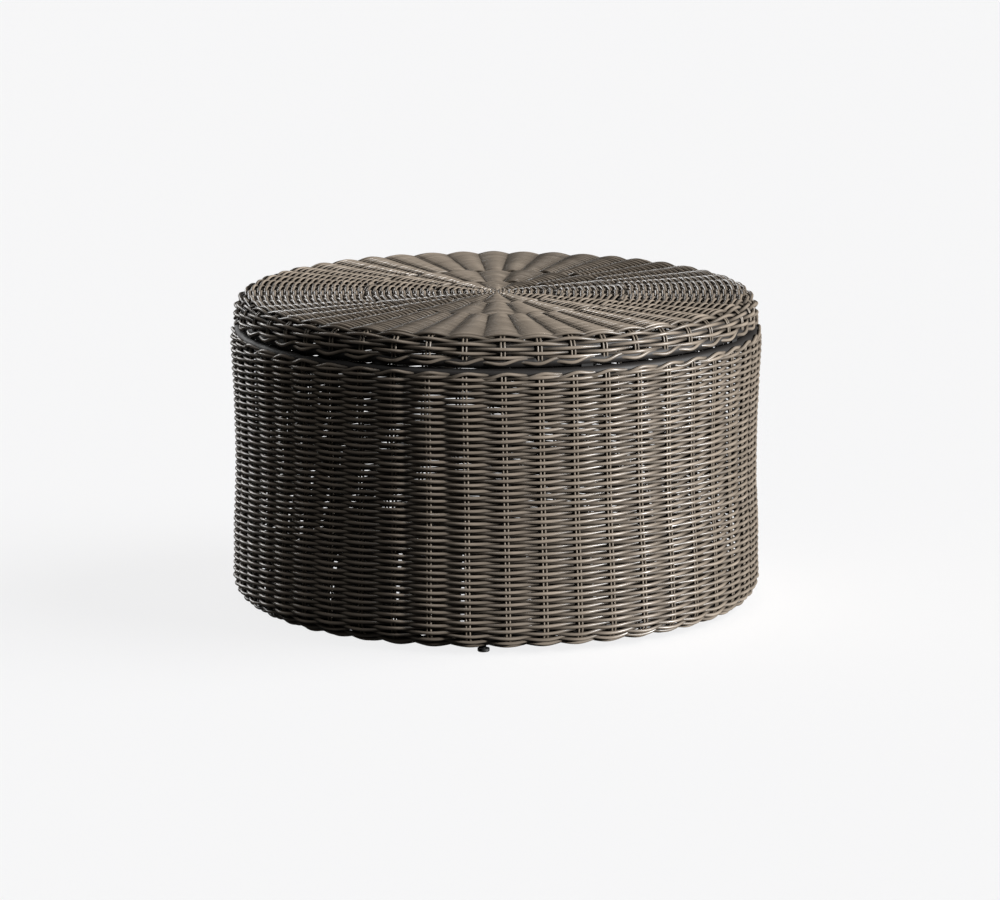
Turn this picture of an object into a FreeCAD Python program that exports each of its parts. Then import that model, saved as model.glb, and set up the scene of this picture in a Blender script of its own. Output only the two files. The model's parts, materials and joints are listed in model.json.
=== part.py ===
import FreeCAD, Part
import math
import os

# A round storage coffee table of woven resin wicker: a hollow drum on a tube frame,
# with a woven lid that lifts off. Millimetres, +Z up, origin on the floor at the middle
# of the drum, front towards -Y. Angles are degrees about +Z, with -90 at the front.

os.makedirs("parts", exist_ok=True)

# Overall sizes
TABLE_HEIGHT = 477.0      # floor to the top of the lid
LID_HEIGHT = 45.5         # woven skirt of the lid, from its lower edge to its top
REVEAL = 9.5              # open band between the drum's upper edge and the lid's lower edge
WAIST_RADIUS = 401.8      # outer face of the drum where it is narrowest
WAIST_Z = 200.0
WAIST_CURVE = 2950.0      # radius of the gentle hollow in the drum's side
TURN_UNDER = 32.0         # radius of the rounded lower edge
LID_INSET = 3.0           # the lid's skirt stands this far inside the drum's upper edge
LID_CORNER = 16.0         # radius from the lid's top to its skirt

# Weave
STRAND = 5.0              # round weaving strand
STAKE = 3.4               # round stake, always in pairs
STAKE_PITCH = 5.4         # between the two stakes of a pair
STAKE_ROOM = 3.8          # space for the stakes between the two faces of the weave
STAKE_PAIRS = 48
FIRST_STAKE = 1.0 - 90.0
UNDER_REACH = 12.0        # flat weave under the drum, inside its rounded edge
BORDER_HEIGHT = 10.0      # twined edge rows
UNDER_BORDER_WIDTH = 12.0
LID_CENTRE_RADIUS = 12.0  # where the innermost stakes start
LID_FIRST_SPLIT = 97.0    # stakes double in number here
LID_SECOND_SPLIT = 200.0  # and again here

# Tube frame
RING_TUBE = 16.0
UPRIGHT_TUBE = 12.0
TUBE_WALL = 1.5
VENT_HOLE = 4.0           # lets the air out of a closed ring when it is welded
UPRIGHTS = 8
SPOKE_WIDTH = 20.0
SPOKE_HEIGHT = 12.0
SPOKES = 8
SPOKE_START = 40.0
HUB_RADIUS = 62.0
HUB_THICKNESS = 4.0
RING_WEBS = 8
RING_WEB_THICKNESS = 5.0
RING_WEB_WIDTH = 12.0
FIT = 0.2                 # between the weave and the tubes that it is laced to
UPRIGHT_ROOM = 1.0        # between the weave and the uprights
UPRIGHT_LAP = 4.0         # how far an upright's end passes the near side of its ring

# Floor of the store
CROSSBAR_WIDTH = 20.0
CROSSBAR_HEIGHT = 12.0
CROSSBAR_PLACES = (-220.0, 0.0, 220.0)
SLATS = 7
SLAT_GAP = 6.0
FLOOR_MARGIN = 25.0       # from the outer slats to the round of the floor
SLAT_THICKNESS = 6.0
SLAT_END_GAP = 2.5        # from a slat's end to the lower ring

# Feet, bumpers and locators
GLIDES = 4
GLIDE_HEIGHT = 5.0
GLIDE_DIAMETER = 18.0
GLIDE_CHAMFER = 1.0
GLIDE_STEM = 8.0
GLIDE_STEM_ROOM = 0.5     # around the stem where it passes through the weave
BUMPERS = 8
BUMPER_LENGTH = 18.0
BUMPER_WIDTH = 12.0
BUMPER_GRIP = 4.5         # how far a bumper reaches up its tube
SLIT = 1.5                # between the lid's tube and the drum's tube
REST_GAP = 0.3            # under the bumpers
LOCATORS = 4
LOCATOR_WIDTH = 34.0
LOCATOR_THICKNESS = 10.0
LOCATOR_REACH = 18.0      # below the top of the drum's tube
LOCATOR_PLAY = 2.0

# Screws
SCREW = 4.0
SCREW_HEAD = 8.0
SCREW_HEAD_HEIGHT = 1.8
SCREW_BITE = 8.0          # length beyond the piece that it holds down
SLAT_SCREW_SPREAD = 27.0  # from a slat's middle line
SLAT_SCREW_EDGE = 12.0    # least distance from a screw to a slat's rounded end

WEAVE = 2 * STRAND + STAKE_ROOM
SECTOR = 360.0 / STAKE_PAIRS
DRUM_TOP = TABLE_HEIGHT - LID_HEIGHT - REVEAL
LID_BOTTOM = TABLE_HEIGHT - LID_HEIGHT
TUBE_R = RING_TUBE / 2
UPRIGHT_R = UPRIGHT_TUBE / 2

# The drum's side is an arc about HOLLOW, and its lower edge an arc about TURN.
HOLLOW_R = WAIST_RADIUS + WAIST_CURVE
TURN_Z = GLIDE_HEIGHT + TURN_UNDER
TURN_R = HOLLOW_R - math.sqrt((WAIST_CURVE + TURN_UNDER) ** 2 - (WAIST_Z - TURN_Z) ** 2)
WEAVE_END_RADIUS = TURN_R - UNDER_REACH
LID_RADIUS = HOLLOW_R - math.sqrt(WAIST_CURVE**2 - (DRUM_TOP - WAIST_Z) ** 2) - LID_INSET

# Tubes of the frame: each ring lies against the weave that it carries.
SLIT_MIDDLE = DRUM_TOP + REVEAL / 2
TOP_RING_Z = SLIT_MIDDLE - SLIT / 2 - TUBE_R
LID_RING_Z = SLIT_MIDDLE + SLIT / 2 + TUBE_R
LID_RING_R = LID_RADIUS - STRAND - STAKE_ROOM - FIT - TUBE_R
LID_TOP_RING_R = LID_RADIUS - WEAVE - FIT - TUBE_R
LID_TOP_RING_Z = TABLE_HEIGHT - WEAVE - FIT - TUBE_R
CORNER_ROOM = TURN_UNDER - WEAVE - FIT - TUBE_R
BOTTOM_RING_R = TURN_R + CORNER_ROOM * math.sqrt(0.5)
BOTTOM_RING_Z = TURN_Z - CORNER_ROOM * math.sqrt(0.5)
CROSSBAR_Z = BOTTOM_RING_Z - TUBE_R
SLAT_Z = CROSSBAR_Z + CROSSBAR_HEIGHT
SPOKE_Z = TABLE_HEIGHT - WEAVE - FIT - SPOKE_HEIGHT

# Pieces that come in rings stand between stakes, where nothing is in their way.
GLIDE_START = FIRST_STAKE - SECTOR / 2
UPRIGHT_START = GLIDE_START
SPOKE_START_ANGLE = GLIDE_START + 180.0 / SPOKES
WEB_START = GLIDE_START
BUMPER_START = GLIDE_START + 180.0 / BUMPERS
LOCATOR_START = GLIDE_START + 11.0


def vec(x, y, z):
    return FreeCAD.Vector(x, y, z)


UP = vec(0, 0, 1)
CENTRE = vec(0, 0, 0)


def side_radius(z, depth=0.0):
    """Radius of the drum's side at height z, on a face depth inside its outer face."""
    return HOLLOW_R - math.sqrt((WAIST_CURVE + depth) ** 2 - (z - WAIST_Z) ** 2)


TOP_RING_R = side_radius(TOP_RING_Z, STRAND + STAKE_ROOM) - FIT - TUBE_R


def line(a, b):
    return Part.LineSegment(a, b).toShape()


def arc(start, end, centre, radius):
    """Short arc from start to end about centre, all in one plane that holds centre."""
    middle = (start + end) * 0.5 - centre
    middle.normalize()
    return Part.Arc(start, centre + middle * radius, end).toShape()


def drum_path(depth, top, end_radius):
    """Edges of the drum's profile, depth inside its outer face, from height top down the
    side and round the lower edge to end_radius underneath."""
    hollow = vec(HOLLOW_R, 0, WAIST_Z)
    turn = vec(TURN_R, 0, TURN_Z)
    towards = turn - hollow
    towards.normalize()
    joint = hollow + towards * (WAIST_CURVE + depth)
    start = vec(side_radius(top, depth), 0, top)
    under = vec(TURN_R, 0, TURN_Z - TURN_UNDER + depth)
    turn_radius = TURN_UNDER - depth
    half_way = turn + vec(math.sqrt(0.5), 0, -math.sqrt(0.5)) * turn_radius
    return [
        arc(start, joint, hollow, WAIST_CURVE + depth),
        Part.Arc(joint, half_way, under).toShape(),
        line(under, vec(end_radius, 0, under.z)),
    ]


def lid_path(depth, start_radius, bottom):
    """Edges of the lid's profile, depth inside its outer face, from start_radius on the
    top, over the corner and down the skirt to height bottom."""
    radius = LID_CORNER - depth
    corner = vec(LID_RADIUS - LID_CORNER, 0, TABLE_HEIGHT - LID_CORNER)
    over = corner + vec(0, 0, radius)
    beside = corner + vec(radius, 0, 0)
    return [
        line(vec(start_radius, 0, over.z), over),
        arc(over, beside, corner, radius),
        line(beside, vec(beside.x, 0, bottom)),
    ]


def ends(edges):
    wire = Part.Wire(edges)
    return wire.OrderedVertexes[0].Point, wire.OrderedVertexes[-1].Point


def loop_face(runs):
    """Face inside a closed outline. Each run is a list of edges, and straight lines join
    the end of one to the start of the next. A run is either way round."""
    edges = []
    last = None
    for run, backwards in runs:
        start, end = ends(run)
        if backwards:
            start, end = end, start
        if last is not None and last.distanceToPoint(start) > 1e-6:
            edges.append(line(last, start))
        edges += run
        last = end
    first = ends(runs[0][0])[1 if runs[0][1] else 0]
    if last.distanceToPoint(first) > 1e-6:
        edges.append(line(last, first))
    return Part.Face(Part.Wire(Part.__sortEdges__(edges)))


def spin(face):
    return face.revolve(CENTRE, UP, 360)


def turned(shape, degrees):
    copy = shape.copy()
    copy.rotate(CENTRE, UP, degrees)
    return copy


def ring_of(shape, count, start):
    return [turned(shape, start + 360.0 * k / count) for k in range(count)]


def box(x0, x1, y0, y1, z0, z1):
    return Part.makeBox(x1 - x0, y1 - y0, z1 - z0, vec(x0, y0, z0))


def band(inner, outer, low, high):
    """Plain ring of rectangular section."""
    tall = high - low
    return Part.makeCylinder(outer, tall, vec(0, 0, low)).cut(
        Part.makeCylinder(inner, tall, vec(0, 0, low))
    )


def ring_envelope(radius, z):
    return Part.makeTorus(radius, TUBE_R, vec(0, 0, z), UP)


def tube_ring(radius, z):
    """A tube bent to a circle, with one vent hole through its inner side."""
    bore = Part.makeTorus(radius, TUBE_R - TUBE_WALL, vec(0, 0, z), UP)
    vent = Part.makeCylinder(VENT_HOLE / 2, RING_TUBE, vec(radius - RING_TUBE, 0, z), vec(1, 0, 0))
    return ring_envelope(radius, z).cut(bore).cut(turned(vent, SECTOR))


def save(name, shapes):
    solids = [solid for shape in shapes for solid in shape.Solids]
    whole = solids[0] if len(solids) == 1 else Part.makeCompound(solids)
    for solid in solids:
        assert solid.isValid() and solid.Volume > 0, name
    whole.exportStep(f"parts/{name}.step")


def save_each(name, shapes):
    for number, shape in enumerate(shapes, 1):
        save(f"{name}_{number}", [shape])


def drum_weave():
    """The woven drum as its side and its turned-under foot: an outer and an inner face
    of strands with the stakes between them, joined where the weave ends under the drum.
    The inner face stops below the upper tube and the outer one below the twined row."""
    outer_top = DRUM_TOP - BORDER_HEIGHT
    inner_top = TOP_RING_Z - TUBE_R - FIT
    web = WEAVE_END_RADIUS + STRAND
    outer = drum_path(0, outer_top, WEAVE_END_RADIUS)
    inner = drum_path(WEAVE, inner_top, WEAVE_END_RADIUS)
    room_in = drum_path(STRAND + STAKE_ROOM, inner_top, web)
    room_out = drum_path(STRAND, outer_top, web)
    face = loop_face([(outer, False), (inner, True), (room_in, False), (room_out, True)])
    shell = spin(face)
    hole = Part.makeCylinder(
        GLIDE_STEM / 2 + GLIDE_STEM_ROOM, TURN_UNDER, vec(BOTTOM_RING_R, 0, 0)
    )
    for cutter in ring_of(hole, GLIDES, GLIDE_START):
        shell = shell.cut(cutter)
    foot = Part.makeCylinder(BOTTOM_RING_R * 2, TURN_Z)
    return shell.cut(foot), shell.common(foot)


def lid_weave():
    """The woven lid: a top and a skirt of two faces with the stakes between them."""
    outer_bottom = LID_BOTTOM + BORDER_HEIGHT
    inner_bottom = LID_RING_Z + TUBE_R + FIT
    outer = lid_path(0, 0, outer_bottom)
    room_out = lid_path(STRAND, LID_CENTRE_RADIUS, outer_bottom)
    room_in = lid_path(STRAND + STAKE_ROOM, LID_CENTRE_RADIUS, inner_bottom)
    inner = lid_path(WEAVE, 0, inner_bottom)
    return spin(loop_face([(outer, False), (room_out, True), (room_in, False), (inner, True)]))


def rod_along(edges):
    """A stake that follows edges."""
    path = Part.Wire(edges)
    start = path.OrderedVertexes[0].Point
    first = path.OrderedEdges[0]
    at_start = first.Vertexes[0].Point.distanceToPoint(start) < 1e-6
    along = first.tangentAt(first.FirstParameter if at_start else first.LastParameter)
    section = Part.Face(Part.Wire(Part.makeCircle(STAKE / 2, start, along)))
    return path.makePipe(section)


def pairs(rod, count, start):
    """The rod beside itself in pairs, count times round the table."""
    two = []
    for side in (-0.5, 0.5):
        beside = rod.copy()
        beside.translate(vec(0, side * STAKE_PITCH, 0))
        two.append(beside)
    return [turned(one, start + 360.0 * k / count) for k in range(count) for one in two]


def drum_stakes():
    depth = STRAND + STAKE_ROOM / 2
    rod = rod_along(drum_path(depth, DRUM_TOP - STRAND / 2, WEAVE_END_RADIUS + STRAND))
    return pairs(rod, STAKE_PAIRS, FIRST_STAKE)


def lid_stakes():
    """A quarter of the pairs start at the middle, a quarter at the first split and half
    at the second."""
    depth = STRAND + STAKE_ROOM / 2
    bottom = LID_BOTTOM + STRAND / 2
    quarter = STAKE_PAIRS // 4
    starts = (
        (LID_CENTRE_RADIUS + STAKE * 2, quarter, 0),
        (LID_FIRST_SPLIT, quarter, 2 * SECTOR),
        (LID_SECOND_SPLIT, 2 * quarter, SECTOR),
    )
    rods = []
    for radius, count, turn in starts:
        rods += pairs(rod_along(lid_path(depth, radius, bottom)), count, FIRST_STAKE + turn)
    return rods


def uprights():
    """Tubes rolled to the hollow of the drum's side, between the two rings."""
    depth = WEAVE + UPRIGHT_ROOM + UPRIGHT_R
    hollow = vec(HOLLOW_R, 0, WAIST_Z)
    low_z = BOTTOM_RING_Z + TUBE_R - UPRIGHT_LAP
    high_z = TOP_RING_Z - TUBE_R + UPRIGHT_LAP
    low = vec(side_radius(low_z, depth), 0, low_z)
    high = vec(side_radius(high_z, depth), 0, high_z)
    path = Part.Wire([arc(low, high, hollow, WAIST_CURVE + depth)])
    along = path.Edges[0].tangentAt(path.Edges[0].FirstParameter)
    outside = path.makePipe(Part.Face(Part.Wire(Part.makeCircle(UPRIGHT_R, low, along))))
    inside = path.makePipe(
        Part.Face(Part.Wire(Part.makeCircle(UPRIGHT_R - TUBE_WALL, low, along)))
    )
    tube = outside.cut(inside)
    tube = tube.cut(ring_envelope(BOTTOM_RING_R, BOTTOM_RING_Z))
    tube = tube.cut(ring_envelope(TOP_RING_R, TOP_RING_Z))
    tube = max(tube.Solids, key=lambda solid: solid.Volume)
    return ring_of(tube, UPRIGHTS, UPRIGHT_START)


def spokes():
    half = SPOKE_WIDTH / 2
    reach = LID_TOP_RING_R
    tube = box(SPOKE_START, reach, -half, half, SPOKE_Z, SPOKE_Z + SPOKE_HEIGHT)
    bore = box(
        SPOKE_START,
        reach,
        -half + TUBE_WALL,
        half - TUBE_WALL,
        SPOKE_Z + TUBE_WALL,
        SPOKE_Z + SPOKE_HEIGHT - TUBE_WALL,
    )
    coped = tube.cut(bore).cut(ring_envelope(LID_TOP_RING_R, LID_TOP_RING_Z))
    spoke = max(coped.Solids, key=lambda solid: solid.Volume)
    return ring_of(spoke, SPOKES, SPOKE_START_ANGLE)


def ring_webs():
    """Plates that hold the lid's two rings together."""
    half = RING_WEB_THICKNESS / 2
    left = LID_TOP_RING_R - RING_WEB_WIDTH / 2
    plate = box(left, left + RING_WEB_WIDTH, -half, half, LID_RING_Z, LID_TOP_RING_Z)
    plate = plate.cut(ring_envelope(LID_RING_R, LID_RING_Z))
    plate = plate.cut(ring_envelope(LID_TOP_RING_R, LID_TOP_RING_Z))
    plate = max(plate.Solids, key=lambda solid: solid.Volume)
    return ring_of(plate, RING_WEBS, WEB_START)


def crossbars():
    half = CROSSBAR_WIDTH / 2
    bars = []
    for y in CROSSBAR_PLACES:
        top = CROSSBAR_Z + CROSSBAR_HEIGHT
        tube = box(-BOTTOM_RING_R, BOTTOM_RING_R, y - half, y + half, CROSSBAR_Z, top)
        bore = box(
            -BOTTOM_RING_R,
            BOTTOM_RING_R,
            y - half + TUBE_WALL,
            y + half - TUBE_WALL,
            CROSSBAR_Z + TUBE_WALL,
            top - TUBE_WALL,
        )
        within = Part.makeCylinder(BOTTOM_RING_R, RING_TUBE, vec(0, 0, CROSSBAR_Z))
        coped = tube.cut(bore).common(within)
        coped = coped.cut(ring_envelope(BOTTOM_RING_R, BOTTOM_RING_Z))
        bars.append(max(coped.Solids, key=lambda solid: solid.Volume))
    return bars


def slat_radius():
    above = SLAT_Z - BOTTOM_RING_Z
    return BOTTOM_RING_R - math.sqrt(TUBE_R**2 - above**2) - SLAT_END_GAP


def slat_width():
    return (2 * (slat_radius() - FLOOR_MARGIN) - (SLATS - 1) * SLAT_GAP) / SLATS


def slat_middles():
    pitch = slat_width() + SLAT_GAP
    return [(number - (SLATS - 1) / 2) * pitch for number in range(SLATS)]


def slat_screw_places():
    """Two screws wherever a slat crosses a crossbar with room for them."""
    limit = slat_radius() - SLAT_SCREW_EDGE
    places = []
    for middle in slat_middles():
        for y in CROSSBAR_PLACES:
            for side in (-SLAT_SCREW_SPREAD, SLAT_SCREW_SPREAD):
                if math.hypot(middle + side, y) < limit:
                    places.append((middle + side, y))
    return places


def slats():
    """Floor boards from front to back, cut to the round of the drum."""
    disc = Part.makeCylinder(slat_radius(), SLAT_THICKNESS, vec(0, 0, SLAT_Z))
    for x, y in slat_screw_places():
        disc = disc.cut(Part.makeCylinder(SCREW / 2, SLAT_THICKNESS, vec(x, y, SLAT_Z)))
    reach = slat_radius()
    half = slat_width() / 2
    top = SLAT_Z + SLAT_THICKNESS
    return [
        box(middle - half, middle + half, -reach, reach, SLAT_Z, top).common(disc)
        for middle in slat_middles()
    ]


def screw(x, y, z, length):
    """A pan head screw that points down, with the underside of its head at z."""
    shank = Part.makeCylinder(SCREW / 2, length, vec(x, y, z - length))
    head = Part.makeCylinder(SCREW_HEAD / 2, SCREW_HEAD_HEIGHT, vec(x, y, z))
    rim = [edge for edge in head.Edges if abs(edge.CenterOfMass.z - z - SCREW_HEAD_HEIGHT) < 1e-6]
    return head.makeFillet(SCREW_HEAD_HEIGHT / 2, rim).fuse(shank)


def slat_screws():
    top = SLAT_Z + SLAT_THICKNESS
    return [screw(x, y, top, SLAT_THICKNESS + SCREW_BITE) for x, y in slat_screw_places()]


def hub_screw_places():
    reach = (SPOKE_START + HUB_RADIUS) / 2
    angles = [SPOKE_START_ANGLE + 360.0 * k / SPOKES for k in range(SPOKES)]
    return [
        (reach * math.cos(math.radians(a)), reach * math.sin(math.radians(a))) for a in angles
    ]


def hub_plate():
    low = SPOKE_Z - HUB_THICKNESS
    plate = Part.makeCylinder(HUB_RADIUS, HUB_THICKNESS, vec(0, 0, low))
    for x, y in hub_screw_places():
        plate = plate.cut(Part.makeCylinder(SCREW / 2, HUB_THICKNESS, vec(x, y, low)))
    return plate


def hub_screws():
    """Screws that point up through the hub plate into the spokes."""
    low = SPOKE_Z - HUB_THICKNESS
    length = HUB_THICKNESS + SCREW_BITE
    screws = []
    for x, y in hub_screw_places():
        one = screw(x, y, low, length)
        one.rotate(vec(x, y, low), vec(1, 0, 0), 180)
        screws.append(one)
    return screws


def drill(shapes, cutters):
    return [drilled(shape, cutters) for shape in shapes]


def drilled(shape, cutters):
    """The shape less each cutter that comes near it."""
    for cutter in cutters:
        if shape.BoundBox.intersect(cutter.BoundBox):
            shape = shape.cut(cutter)
    return shape


def glide():
    """A moulded foot with a stem that goes up through the weave into the lower ring."""
    radius = GLIDE_DIAMETER / 2
    head = Part.makeCylinder(radius, GLIDE_HEIGHT, vec(BOTTOM_RING_R, 0, 0))
    rim = [edge for edge in head.Edges if abs(edge.CenterOfMass.z) < 1e-6]
    return head.makeChamfer(GLIDE_CHAMFER, rim).fuse(glide_stem())


def glide_stem():
    return Part.makeCylinder(
        GLIDE_STEM / 2, BOTTOM_RING_Z - GLIDE_HEIGHT, vec(BOTTOM_RING_R, 0, GLIDE_HEIGHT)
    )


def bumpers():
    """Rubber saddles under the lid's tube, which rest on the drum's tube."""
    low = TOP_RING_Z + TUBE_R + REST_GAP
    half = BUMPER_WIDTH / 2
    long_half = BUMPER_LENGTH / 2
    high = LID_RING_Z - TUBE_R + BUMPER_GRIP
    pad = box(LID_RING_R - half, LID_RING_R + half, -long_half, long_half, low, high)
    saddle = pad.cut(ring_envelope(LID_RING_R, LID_RING_Z))
    return ring_of(saddle, BUMPERS, BUMPER_START)


def locator_outer():
    return TOP_RING_R - TUBE_R - LOCATOR_PLAY


def locators():
    """Blocks on the lid's tube that drop inside the drum's tube and keep the lid central."""
    half = LOCATOR_WIDTH / 2
    outer = locator_outer()
    inner = LID_RING_R - TUBE_R - LOCATOR_THICKNESS
    low = TOP_RING_Z + TUBE_R - LOCATOR_REACH
    shoulder = LID_RING_Z - TUBE_R + FIT
    top = LID_RING_Z + TUBE_R * 0.6
    tongue = box(inner, outer + half, -half, half, low, shoulder).common(
        Part.makeCylinder(outer, top - low, vec(0, 0, low))
    )
    seat = box(inner, LID_RING_R, -half, half, shoulder, top)
    block = tongue.fuse(seat).removeSplitter().cut(ring_envelope(LID_RING_R, LID_RING_Z))
    block = max(block.Solids, key=lambda solid: solid.Volume)
    return ring_of(block, LOCATORS, LOCATOR_START)


def locator_screws():
    """One screw through each locator into the lid's tube, pointing outwards."""
    inner = LID_RING_R - TUBE_R - LOCATOR_THICKNESS
    one = screw(0, 0, 0, LOCATOR_THICKNESS + TUBE_R)
    one.rotate(CENTRE, vec(0, 1, 0), -90)
    one.translate(vec(inner, 0, LID_RING_Z))
    return ring_of(one, LOCATORS, LOCATOR_START)


def main():
    stems = ring_of(glide_stem(), GLIDES, GLIDE_START)
    floor_screws = slat_screws()
    lid_hub_screws = hub_screws()
    block_screws = locator_screws()

    wall, foot = drum_weave()
    save("base_wall_weave", [wall])
    save("base_foot_weave", [foot])
    rim = side_radius(DRUM_TOP)
    save("base_top_border", [band(rim - STRAND, rim, DRUM_TOP - BORDER_HEIGHT, DRUM_TOP)])
    under = WEAVE_END_RADIUS
    save(
        "base_bottom_border",
        [band(under - UNDER_BORDER_WIDTH, under, GLIDE_HEIGHT, GLIDE_HEIGHT + WEAVE)],
    )
    save("base_stakes", drum_stakes())
    save("base_top_ring", [tube_ring(TOP_RING_R, TOP_RING_Z)])
    save("base_bottom_ring", drill([tube_ring(BOTTOM_RING_R, BOTTOM_RING_Z)], stems))
    save_each("base_upright", uprights())
    save_each("floor_crossbar", drill(crossbars(), floor_screws))
    save_each("floor_slat", slats())
    save("floor_screws", floor_screws)
    save_each("base_glide", ring_of(glide(), GLIDES, GLIDE_START))

    save("lid_weave", [lid_weave()])
    lid_band = band(LID_RADIUS - STRAND, LID_RADIUS, LID_BOTTOM, LID_BOTTOM + BORDER_HEIGHT)
    save("lid_bottom_border", [lid_band])
    save("lid_stakes", lid_stakes())
    save("lid_lower_ring", drill([tube_ring(LID_RING_R, LID_RING_Z)], block_screws))
    save("lid_upper_ring", [tube_ring(LID_TOP_RING_R, LID_TOP_RING_Z)])
    save_each("lid_ring_web", ring_webs())
    save_each("lid_spoke", drill(spokes(), lid_hub_screws))
    save("lid_hub_plate", [hub_plate()])
    save("lid_hub_screws", lid_hub_screws)
    save("lid_bumpers", bumpers())
    save_each("lid_locator", drill(locators(), block_screws))
    save("lid_locator_screws", block_screws)


main()
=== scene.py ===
"""Looks of a round wicker storage coffee table: a woven drum with a woven lid.

Every strand is a bent round rod that passes in front of one pair of stakes and behind the
next. Lengths are in metres, +Z is up and the front is towards -Y.
"""

import json
import math

import bpy
import numpy as np
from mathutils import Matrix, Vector


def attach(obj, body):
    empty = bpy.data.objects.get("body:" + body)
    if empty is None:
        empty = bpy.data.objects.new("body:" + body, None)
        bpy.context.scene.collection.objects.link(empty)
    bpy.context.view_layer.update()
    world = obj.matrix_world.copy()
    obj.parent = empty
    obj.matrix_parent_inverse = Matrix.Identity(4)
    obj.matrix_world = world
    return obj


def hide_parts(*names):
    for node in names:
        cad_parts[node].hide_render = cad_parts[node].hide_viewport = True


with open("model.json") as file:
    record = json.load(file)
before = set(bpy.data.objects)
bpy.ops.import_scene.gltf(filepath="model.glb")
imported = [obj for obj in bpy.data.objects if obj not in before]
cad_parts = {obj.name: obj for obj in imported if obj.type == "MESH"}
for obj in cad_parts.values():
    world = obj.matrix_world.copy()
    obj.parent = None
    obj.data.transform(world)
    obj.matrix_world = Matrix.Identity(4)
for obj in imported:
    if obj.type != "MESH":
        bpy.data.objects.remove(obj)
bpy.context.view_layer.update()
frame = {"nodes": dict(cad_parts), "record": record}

MM = 0.001
TAU = 2 * math.pi

COLUMNS = 48              # stake pairs round the drum
FIRST_STAKE = math.radians(-89.0)
STRAND_R = 2.65 * MM
SWING = 4.3 * MM          # a strand's middle is this far in front of or behind the stakes
STAKE_R = 1.7 * MM
STAKE_GAP = 5.4 * MM      # between the two stakes of a pair
TWINE_SPREAD = 2.6 * MM   # each strand of a twined edge, to either side of its middle
STEPS = 10                # mesh steps along a strand from one pair to the next
WIDE_STEPS = 16           # the same on the lid, where the pairs are fewer
SIDES = 8
DEPTH = 6.9 * MM          # from the outer face of the weave in to the middle of the stakes

WAIST_R = 401.8 * MM      # outer face of the drum where it is narrowest
WAIST_Z = 207 * MM
WAIST_CURVE = 2950 * MM   # radius of the hollow in the drum's side
TURN_UNDER = 32 * MM      # radius of the rounded lower edge
TURN_Z = 37 * MM
UNDER_REACH = 12 * MM     # weave that lies flat under the drum
UNDER_Z = TURN_Z - TURN_UNDER + DEPTH
DRUM_TOP = 422 * MM
LID_R = 402.6 * MM
LID_CORNER = 27 * MM
LID_BOTTOM = 431.5 * MM
LID_TOP = 477 * MM
RIM_RISE = 0.6 * MM       # the strands heap up a little over the lid's rim

ROW = 4.9 * MM            # drum rows, measured along the side
WEAVERS = 16              # strands woven side by side up the drum
LID_ROW = 5.2 * MM
SKIRT_ROW = 6.2 * MM


# ---------------------------------------------------------------- outline of the weave

class Outline:
    """The line that the stakes follow, from (r, z) points: gives place and normal at a
    distance along it."""

    def __init__(self, points, outward):
        points = np.array(points)
        steps = np.hypot(*np.diff(points, axis=0).T)
        self.along = np.concatenate([[0.0], np.cumsum(steps)])
        self.r, self.z = points.T
        dr = np.gradient(self.r, self.along)
        dz = np.gradient(self.z, self.along)
        size = np.hypot(dr, dz) * outward
        self.nr, self.nz = dz / size, -dr / size
        self.length = self.along[-1]

    def at(self, s):
        return [np.interp(s, self.along, v) for v in (self.r, self.z, self.nr, self.nz)]

    def where(self, axis, value):
        """Distance along at which r or z has this value."""
        line = getattr(self, axis)
        order = np.argsort(line)
        return float(np.interp(value, line[order], self.along[order]))


def arc(centre_r, centre_z, radius, start, end, count):
    angle = np.radians(np.linspace(start, end, count))
    return [(centre_r + radius * math.cos(a), centre_z + radius * math.sin(a)) for a in angle]


def drum_outline():
    """From under the drum, round its foot and up the hollow side."""
    hollow = WAIST_R + WAIST_CURVE
    reach = WAIST_CURVE + TURN_UNDER
    turn_r = hollow - math.sqrt(reach**2 - (TURN_Z - WAIST_Z) ** 2)
    lean = math.degrees(math.asin((WAIST_Z - TURN_Z) / reach))
    points = [(turn_r - UNDER_REACH, UNDER_Z)]
    points += arc(turn_r, TURN_Z, TURN_UNDER - DEPTH, -90, lean, 24)
    radius = WAIST_CURVE + DEPTH
    start = math.asin((points[-1][1] - WAIST_Z) / radius)
    top = math.asin((DRUM_TOP - WAIST_Z) / radius)
    for a in np.linspace(start, top, 60)[1:]:
        z = WAIST_Z + radius * math.sin(a)
        belly = 2.2 * MM * math.exp(-(((z - 125 * MM) / (50 * MM)) ** 2))
        drawn_in = 3.4 * MM * max(0.0, 1 - (DRUM_TOP - z) / (30 * MM)) ** 2
        points.append((hollow - radius * math.cos(a) + belly - drawn_in, z))
    return Outline(points, 1)


def lid_outline():
    """From the middle of the lid, over its rounded edge and down the skirt."""
    edge = LID_R - LID_CORNER
    points = []
    for r in np.linspace(0, edge, 60):
        points.append((r, LID_TOP - DEPTH + RIM_RISE * (r / edge) ** 6))
    shoulder = LID_TOP + RIM_RISE - LID_CORNER
    points += arc(edge, shoulder, LID_CORNER - DEPTH, 90, 0, 14)[1:]
    points += [(LID_R - DEPTH, z) for z in np.linspace(shoulder, LID_BOTTOM, 12)[1:]]
    return Outline(points, -1)


# ---------------------------------------------------------------- uneven hand work

def wander(rng, u, size, turns=False):
    """A smooth random wobble over the columns u. With turns it closes after each turn."""
    total = np.zeros_like(u)
    for low, high in ((2, 7), (7, 17), (17, 40)):
        rate = rng.integers(low, high) if turns else rng.uniform(low, high)
        total += np.sin(TAU * rate * u / COLUMNS + rng.uniform(0, TAU))
    return total * size / 1.7


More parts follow.
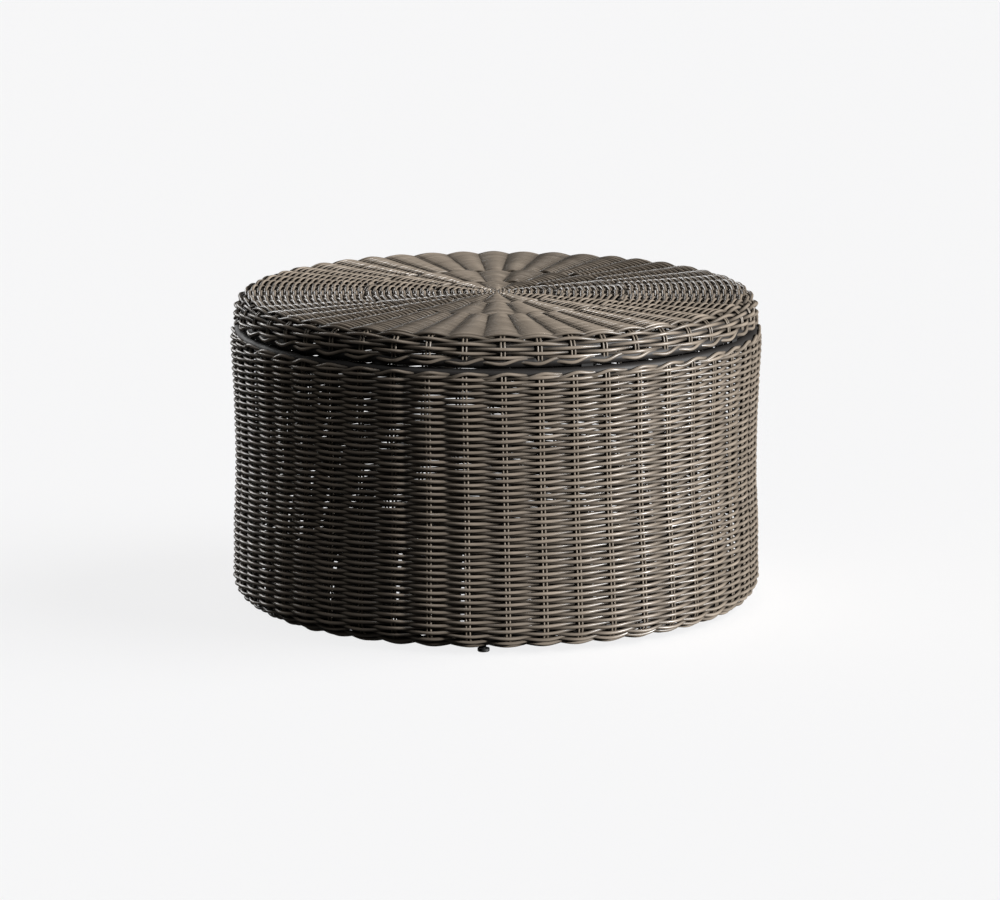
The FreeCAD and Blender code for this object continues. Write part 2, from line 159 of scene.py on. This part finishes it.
def stake_angle(u, z):
    """Angle of column u, at height z. The pairs stand a little apart from even, and wider
    apart at the front of the foot than at its top."""
    low = np.clip(1 - z / DRUM_TOP, -0.3, 1.0)
    t = TAU * u / COLUMNS
    stretch = 0.035 + 0.05 * low
    bend = stretch * np.sin(2 * t + 0.1) / 2 + 0.016 * low
    uneven = 0.006 * np.sin(5 * t + 1.3) + 0.004 * np.sin(11 * t + 0.4 + 0.6 * low)
    return FIRST_STAKE + t + bend + uneven


def sag(angle, z):
    """The foot hangs a little lower at the front left."""
    off = np.degrees(np.remainder(angle, TAU)) - 232
    width = np.where(off < 0, 22, 34)
    return 3.0 * MM * np.exp(-((off / width) ** 2)) * np.clip(1 - z / (60 * MM), 0, 1)


def place(outline, u, s, out):
    """Points at column u, distance s along the outline, out in front of it."""
    r, z, nr, nz = outline.at(s)
    angle = stake_angle(u, z)
    reach = r + nr * out
    z = z - sag(angle, z)
    points = np.stack([reach * np.cos(angle), reach * np.sin(angle), z + nz * out], -1)
    normal = np.stack([nr * np.cos(angle), nr * np.sin(angle), nz], -1)
    return points, normal


# ---------------------------------------------------------------- rods as meshes

class Rods:
    """Collects bent round rods and turns them into one piece."""

    def __init__(self, seed):
        self.rng = np.random.default_rng(seed)
        self.points, self.faces, self.grain, self.tone, self.proud = [], [], [], [], []
        self.count = 0

    def add(self, points, normal, radius, out, closed=False):
        """One rod along the points. out is how far its middle stands out of the weave."""
        n = len(points)
        if closed:
            tangent = np.roll(points, -1, 0) - np.roll(points, 1, 0)
        else:
            tangent = np.gradient(points, axis=0)
        tangent /= np.linalg.norm(tangent, axis=1)[:, None]
        up = normal - (normal * tangent).sum(1)[:, None] * tangent
        up /= np.linalg.norm(up, axis=1)[:, None]
        side = np.cross(tangent, up)
        around = TAU * (np.arange(SIDES) + 0.5) / SIDES
        radius = np.broadcast_to(radius, n)[:, None]
        ring = np.cos(around)[:, None] * up[:, None] + np.sin(around)[:, None] * side[:, None]
        self.points.append((points[:, None] + ring * radius[:, :, None]).reshape(-1, 3))
        # how far each point of the surface stands out of the weave; it drives the painted shade of
        # the hollows
        proud = out[:, None] + np.cos(around) * radius
        self.proud.append(proud.ravel() / (SWING + STRAND_R))
        steps = np.linalg.norm(np.diff(points, axis=0), axis=1)
        along = np.concatenate([[0.0], np.cumsum(steps)]) + self.rng.uniform(0, 50)
        grain = np.empty((n, SIDES, 3))
        grain[..., 0] = along[:, None]
        grain[..., 1] = np.cos(around) * STRAND_R
        grain[..., 2] = np.sin(around) * STRAND_R
        self.grain.append(grain.reshape(-1, 3))
        self.tone.append(np.full(n * SIDES, self.rng.normal(0.5, 0.17)))
        rows = np.arange(n if closed else n - 1)
        here = self.count + rows[:, None] * SIDES
        after = self.count + (rows[:, None] + 1) % n * SIDES
        corner = np.arange(SIDES)
        beside = (corner + 1) % SIDES
        quads = np.stack([here + corner, here + beside, after + beside, after + corner], -1)
        self.faces.append(quads.reshape(-1, 4))
        if not closed:
            self.close_ends(n)
        self.count += n * SIDES

    def close_ends(self, n):
        """Flat ends of four-sided faces, fanned from one corner."""
        first = self.count + np.arange(SIDES)
        last = first + (n - 1) * SIDES
        for ring in (first[::-1], last):
            self.faces.append(np.array([[ring[0], *ring[k:k + 3]] for k in range(1, SIDES - 1, 2)]))

    def piece(self, name, material, body, nodes):
        points = np.concatenate(self.points)
        faces = np.concatenate(self.faces)
        mesh = bpy.data.meshes.new(name)
        mesh.vertices.add(len(points))
        mesh.vertices.foreach_set("co", points.ravel())
        mesh.loops.add(faces.size)
        mesh.loops.foreach_set("vertex_index", faces.ravel())
        mesh.polygons.add(len(faces))
        mesh.polygons.foreach_set("loop_start", np.arange(len(faces)) * 4)
        mesh.polygons.foreach_set("use_smooth", np.ones(len(faces), bool))
        mesh.update(calc_edges=True)
        grain = mesh.attributes.new("grain", "FLOAT_VECTOR", "POINT")
        grain.data.foreach_set("vector", np.concatenate(self.grain).ravel())
        tone = mesh.attributes.new("tone", "FLOAT", "POINT")
        tone.data.foreach_set("value", np.concatenate(self.tone))
        # proud carries the depth that the material turns into painted shade in the hollows
        proud = mesh.attributes.new("proud", "FLOAT", "POINT")
        proud.data.foreach_set("value", np.concatenate(self.proud))
        mesh.materials.append(material)
        mesh.validate()
        made = bpy.data.objects.new(name, mesh)
        bpy.context.scene.collection.objects.link(made)
        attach(made, body)
        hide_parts(*nodes)
        return made


# ---------------------------------------------------------------- materials

def principled(name, colour, roughness, metallic=0.0):
    material = bpy.data.materials.new(name)
    material.use_nodes = True
    tree = material.node_tree
    shader = tree.nodes["Principled BSDF"]
    shader.inputs["Base Color"].default_value = (*colour, 1)
    shader.inputs["Roughness"].default_value = roughness
    shader.inputs["Metallic"].default_value = metallic
    return material, tree, shader


def noise(tree, vector, scale, detail=4.0, roughness=0.55):
    node = tree.nodes.new("ShaderNodeTexNoise")
    node.inputs["Scale"].default_value = scale
    node.inputs["Detail"].default_value = detail
    node.inputs["Roughness"].default_value = roughness
    tree.links.new(vector, node.inputs["Vector"])
    return node.outputs["Fac"]


def stretched(tree, vector, factors):
    node = tree.nodes.new("ShaderNodeVectorMath")
    node.operation = "MULTIPLY"
    node.inputs[1].default_value = factors
    tree.links.new(vector, node.inputs[0])
    return node.outputs["Vector"]


def ranged(tree, value, from_low, from_high, to_low, to_high):
    node = tree.nodes.new("ShaderNodeMapRange")
    node.inputs["From Min"].default_value = from_low
    node.inputs["From Max"].default_value = from_high
    node.inputs["To Min"].default_value = to_low
    node.inputs["To Max"].default_value = to_high
    tree.links.new(value, node.inputs["Value"])
    return node.outputs["Result"]


def times(tree, a, b):
    node = tree.nodes.new("ShaderNodeMath")
    node.operation = "MULTIPLY"
    tree.links.new(a, node.inputs[0])
    tree.links.new(b, node.inputs[1])
    return node.outputs["Value"]


def tinted(tree, shader, colour, factor):
    """The base colour, made lighter or darker by a factor."""
    node = tree.nodes.new("ShaderNodeVectorMath")
    node.operation = "SCALE"
    node.inputs[0].default_value = colour
    tree.links.new(factor, node.inputs["Scale"])
    tree.links.new(node.outputs["Vector"], shader.inputs["Base Color"])


def bumped(tree, shader, height, strength, distance):
    node = tree.nodes.new("ShaderNodeBump")
    node.inputs["Strength"].default_value = strength
    node.inputs["Distance"].default_value = distance
    tree.links.new(height, node.inputs["Height"])
    tree.links.new(node.outputs["Normal"], shader.inputs["Normal"])


def resin(name, colour, roughness):
    """Extruded resin strand: fine grooves along it, each strand its own tone, and painted
    shade: the colour is darker where the surface lies deep in the hollows of the weave."""
    material, tree, shader = principled(name, colour, roughness)
    grain = tree.nodes.new("ShaderNodeAttribute")
    grain.attribute_name = "grain"
    tone = tree.nodes.new("ShaderNodeAttribute")
    tone.attribute_name = "tone"
    proud = tree.nodes.new("ShaderNodeAttribute")
    proud.attribute_name = "proud"
    grooves = noise(tree, stretched(tree, grain.outputs["Vector"], (9, 1400, 1400)), 1.0, 3.0)
    patches = noise(tree, stretched(tree, grain.outputs["Vector"], (22, 60, 60)), 1.0, 3.0)
    shade = ranged(tree, tone.outputs["Fac"], 0.0, 1.0, 0.78, 1.24)
    streak = ranged(tree, grooves, 0.3, 0.7, 0.86, 1.14)
    patch = ranged(tree, patches, 0.3, 0.7, 0.86, 1.14)
    # painted shade: the colour gets darker the further the surface lies back in the weave
    hollow = ranged(tree, proud.outputs["Fac"], -0.35, 0.85, 0.10, 1.25)
    tinted(tree, shader, colour, times(tree, times(tree, hollow, shade), times(tree, streak, patch)))
    dull = ranged(tree, patches, 0.3, 0.7, roughness - 0.08, roughness + 0.1)
    tree.links.new(dull, shader.inputs["Roughness"])
    bumped(tree, shader, grooves, 0.35, 0.0004)
    return material


def solid(name, colour, roughness, metallic=0.0, grain=(1, 1, 1), fine=900.0, spread=0.1, bump=0.2):
    """A moulded, painted or sawn piece: fine surface grain and a slow change of shade."""
    material, tree, shader = principled(name, colour, roughness, metallic)
    place_node = tree.nodes.new("ShaderNodeTexCoord")
    vector = stretched(tree, place_node.outputs["Object"], grain)
    fine_noise = noise(tree, vector, fine, 3.0)
    slow = noise(tree, place_node.outputs["Object"], 14.0, 2.0)
    factor = times(
        tree,
        ranged(tree, fine_noise, 0.3, 0.7, 1 - spread, 1 + spread),
        ranged(tree, slow, 0.3, 0.7, 0.92, 1.08),
    )
    tinted(tree, shader, colour, factor)
    dull = ranged(tree, slow, 0.3, 0.7, roughness - 0.06, roughness + 0.08)
    tree.links.new(dull, shader.inputs["Roughness"])
    bumped(tree, shader, fine_noise, bump, 0.0003)
    return material


STRAND_COLOUR = (0.190, 0.158, 0.126)
woven = resin("woven resin", STRAND_COLOUR, 0.33)
stake_resin = resin("stake resin", (0.290, 0.242, 0.190), 0.42)
BOARD_COLOUR = (0.042, 0.033, 0.026)
board = solid("floor board", BOARD_COLOUR, 0.6, grain=(1, 0.04, 1), fine=520.0, spread=0.2, bump=0.4)
paint = solid("powder coat", (0.012, 0.010, 0.009), 0.6, fine=1500.0, spread=0.08, bump=0.35)
rubber = solid("rubber", (0.012, 0.012, 0.012), 0.8, fine=2200.0, bump=0.25)
plastic = solid("moulded plastic", (0.014, 0.014, 0.014), 0.5, fine=1800.0, bump=0.15)
steel = solid("steel", (0.55, 0.55, 0.56), 0.32, metallic=1.0, fine=2600.0, spread=0.05, bump=0.1)
SLOT_MATERIALS = {
    "woven_resin": woven,
    "stake_resin": stake_resin,
    "floor_board": board,
    "frame_paint": paint,
    "rubber": rubber,
    "black_plastic": plastic,
    "steel": steel,
}


# ---------------------------------------------------------------- the drum's weave

def helix(rods, outline, number, low, high):
    """One of the strands that climb the drum side by side, between two heights."""
    lead = WEAVERS * ROW / COLUMNS
    first = math.ceil((low - ROW * number) / lead)
    last = math.floor((high - ROW * number) / lead)
    first += (first + number) % 2 == 0
    last -= (last + number) % 2 == 0
    u = np.linspace(first, last, (last - first) * STEPS + 1)
    s = ROW * number + lead * u + wander(rods.rng, u, 0.45 * MM)
    swing = SWING * np.cos(math.pi * (u + number)) * (1 + wander(rods.rng, u, 0.05))
    s = np.clip(s, low, high)
    points, normal = place(outline, u, s, swing)
    radius = STRAND_R * (1 + wander(rods.rng, u, 0.03)) * rods.rng.normal(0.985, 0.02)
    rods.add(points, normal, radius, swing)


def ring(rods, outline, s, phase, columns=COLUMNS):
    """A closed strand at distance s that swings over every second pair of the columns."""
    count = COLUMNS * STEPS if columns == COLUMNS else columns * WIDE_STEPS
    u = np.arange(count) * COLUMNS / count
    local = u * columns / COLUMNS
    wave = np.cos(math.pi * (local + phase))
    along = s + wander(rods.rng, u, 0.35 * MM, True)
    out = SWING * wave * (1 + wander(rods.rng, u, 0.05, True))
    points, normal = place(outline, u, along, out)
    rods.add(points, normal, STRAND_R * rods.rng.normal(0.99, 0.02), out, closed=True)


def twine(rods, outline, s, arch, turn=1.0):
    """Two strands twisted round each other, one of them over each pair of stakes."""
    u = np.arange(COLUMNS * STEPS) / STEPS
    bow = arch * np.cos(TAU * u)
    for phase in (0, 1):
        angle = math.pi * (u + phase)
        along = s + bow + turn * TWINE_SPREAD * np.sin(angle) + wander(rods.rng, u, 0.3 * MM, True)
        out = SWING * np.cos(angle)
        points, normal = place(outline, u, along, out)
        rods.add(points, normal, STRAND_R, out, closed=True)


def stake_pair(rods, outline, column, low, high):
    """Two thin rods that follow the outline between two distances along it."""
    s = np.linspace(low, high, max(12, int((high - low) / (7 * MM))))
    u = np.full_like(s, column)
    points, normal = place(outline, u, s, np.zeros_like(s))
    r, z = outline.at(s)[:2]
    angle = stake_angle(u, z)
    beside = np.stack([-np.sin(angle), np.cos(angle), np.zeros_like(angle)], -1)
    for side in (-0.5, 0.5):
        rods.add(points + beside * side * STAKE_GAP, normal, STAKE_R, np.zeros_like(s))


drum = drum_outline()
drum_low = 3 * MM
drum_high = drum.where("z", DRUM_TOP - 7 * MM)
weave = ["base_wall_weave", "base_foot_weave"]
PARTS = 4                 # the strands are shared out, to keep each piece small
SHARE = WEAVERS // PARTS
for part in range(PARTS):
    rods = Rods(100 + part)
    for number in range(part * SHARE, part * SHARE + SHARE):
        helix(rods, drum, number, drum_low, drum_high)
    rods.piece(f"drum_strands_{part + 1}", woven, "base", weave)

rods = Rods(110)
twine(rods, drum, drum.where("z", DRUM_TOP - 5 * MM), 2.0 * MM)
rods.piece("drum_top_twine", woven, "base", ["base_top_border"])

rods = Rods(111)
foot = Outline([(351 * MM, UNDER_Z), (380 * MM, UNDER_Z)], 1)
twine(rods, foot, 3.5 * MM, 0.0)
twine(rods, foot, 8.5 * MM, 0.0, turn=-1.0)
rods.piece("drum_foot_twine", woven, "base", ["base_bottom_border"])

rods = Rods(112)
for column in range(COLUMNS):
    stake_pair(rods, drum, column, 5 * MM, drum.where("z", DRUM_TOP - 2.5 * MM))
rods.piece("drum_stakes", stake_resin, "base", ["base_stakes"])


# ---------------------------------------------------------------- the lid's weave

lid = lid_outline()
FIRST_SPLIT, SECOND_SPLIT = 97 * MM, 200 * MM
skirt_twine = lid.length - 5.0 * MM
skirt_rows = 7
skirt_start = skirt_twine - skirt_rows * SKIRT_ROW

rods = Rods(200)
number = 0
s = 6.5 * MM
while s < FIRST_SPLIT:
    ring(rods, lid, s, number, columns=COLUMNS // 4)
    s += LID_ROW
    number += 1
while s < SECOND_SPLIT:
    ring(rods, lid, s, number, columns=COLUMNS // 2)
    s += LID_ROW
    number += 1
rods.piece("lid_inner_strands", woven, "lid", ["lid_weave"])

for part, end in ((1, 0.5), (2, 1.0)):
    rods = Rods(201 + part)
    stop = SECOND_SPLIT + (skirt_start - SECOND_SPLIT) * end - 0.4 * LID_ROW
    while s < stop:
        ring(rods, lid, s, number)
        s += LID_ROW
        number += 1
    rods.piece(f"lid_outer_strands_{part}", woven, "lid", ["lid_weave"])

rods = Rods(204)
for row in range(skirt_rows):
    ring(rods, lid, skirt_start + row * SKIRT_ROW, number + row)
rods.piece("lid_skirt_strands", woven, "lid", ["lid_weave"])

rods = Rods(205)
twine(rods, lid, skirt_twine, 2.0 * MM, turn=-1.0)
rods.piece("lid_edge_twine", woven, "lid", ["lid_bottom_border"])

rods = Rods(206)
for column in range(COLUMNS):
    start = SECOND_SPLIT
    if column % 2 == 0:
        start = FIRST_SPLIT
    if column % 4 == 0:
        start = 14 * MM
    stake_pair(rods, lid, column, start, lid.length - 2.5 * MM)
rods.piece("lid_top_stakes", stake_resin, "lid", ["lid_stakes"])


# ---------------------------------------------------------------- pieces kept from the CAD

slots = {row["node"]: row["material_slot"] for row in frame["record"]["subparts"]}
for name, node in frame["nodes"].items():
    if node.hide_render:
        continue
    node.data.materials.clear()
    node.data.materials.append(SLOT_MATERIALS[slots[name]])


# ---------------------------------------------------------------- room, light and camera

def floor_sheet():
    """A pale floor that casts no light back on the table."""
    mesh = bpy.data.meshes.new("floor")
    edge = 60.0
    corners = [(-edge, -edge, 0), (edge, -edge, 0), (edge, edge, 0), (-edge, edge, 0)]
    mesh.from_pydata(corners, [], [(0, 1, 2, 3)])
    made = bpy.data.objects.new("floor", mesh)
    made.visible_diffuse = False
    made.visible_glossy = False
    material, tree, shader = principled("pale floor", (0.86, 0.86, 0.865), 0.9)
    shader.inputs["Specular IOR Level"].default_value = 0.0
    mesh.materials.append(material)
    bpy.context.scene.collection.objects.link(made)
    return made


def linked(name, thing, state):
    """A light-linking group that takes in or leaves out one thing."""
    group = bpy.data.collections.new(name)
    group.objects.link(thing)
    group.collection_objects[0].light_linking.link_state = state
    return group


def sun(name, azimuth, elevation, strength, spread, lights, shaded_by=None):
    """Light from an azimuth, where 0 is the viewer's side and 90 the right, in degrees."""
    data = bpy.data.lights.new(name, "SUN")
    data.energy = strength
    data.angle = math.radians(spread)
    made = bpy.data.objects.new(name, data)
    a, e = math.radians(azimuth), math.radians(elevation)
    towards = Vector((math.sin(a) * math.cos(e), -math.cos(a) * math.cos(e), math.sin(e)))
    made.rotation_euler = towards.to_track_quat("Z", "Y").to_euler()
    made.light_linking.receiver_collection = lights
    made.light_linking.blocker_collection = shaded_by
    bpy.context.scene.collection.objects.link(made)


def camera():
    data = bpy.data.cameras.new("camera")
    data.lens = 186.9
    data.sensor_width = 36.0
    data.clip_end = 200.0
    made = bpy.data.objects.new("camera", data)
    e = math.radians(11.25)
    back = Vector((0, -math.cos(e), math.sin(e)))
    made.location = Vector((0.0060, 0, 0.2272)) + back * 8.0
    made.rotation_euler = back.to_track_quat("Z", "Y").to_euler()
    bpy.context.scene.collection.objects.link(made)
    bpy.context.scene.camera = made


world = bpy.data.worlds.new("studio")
world.use_nodes = True
world.node_tree.nodes["Background"].inputs["Color"].default_value = (1, 1, 1, 1)
world.node_tree.nodes["Background"].inputs["Strength"].default_value = 0.03
bpy.context.scene.world = world
bpy.context.scene.view_settings.view_transform = "Standard"
floor = floor_sheet()
only_floor = linked("only the floor", floor, "INCLUDE")
not_floor = linked("all but the floor", floor, "EXCLUDE")
sun("key", 70, 14, 6.8, 5, lights=not_floor)
sun("fill", -30, 62, 0.5, 8, lights=not_floor)
sun("back", 215, 20, 1.3, 30, lights=not_floor)
sun("floor wash", 0, 90, 3.03, 5, lights=only_floor, shaded_by=only_floor)
sun("floor shadow", 88, 36, 0.45, 50, lights=only_floor)
camera()
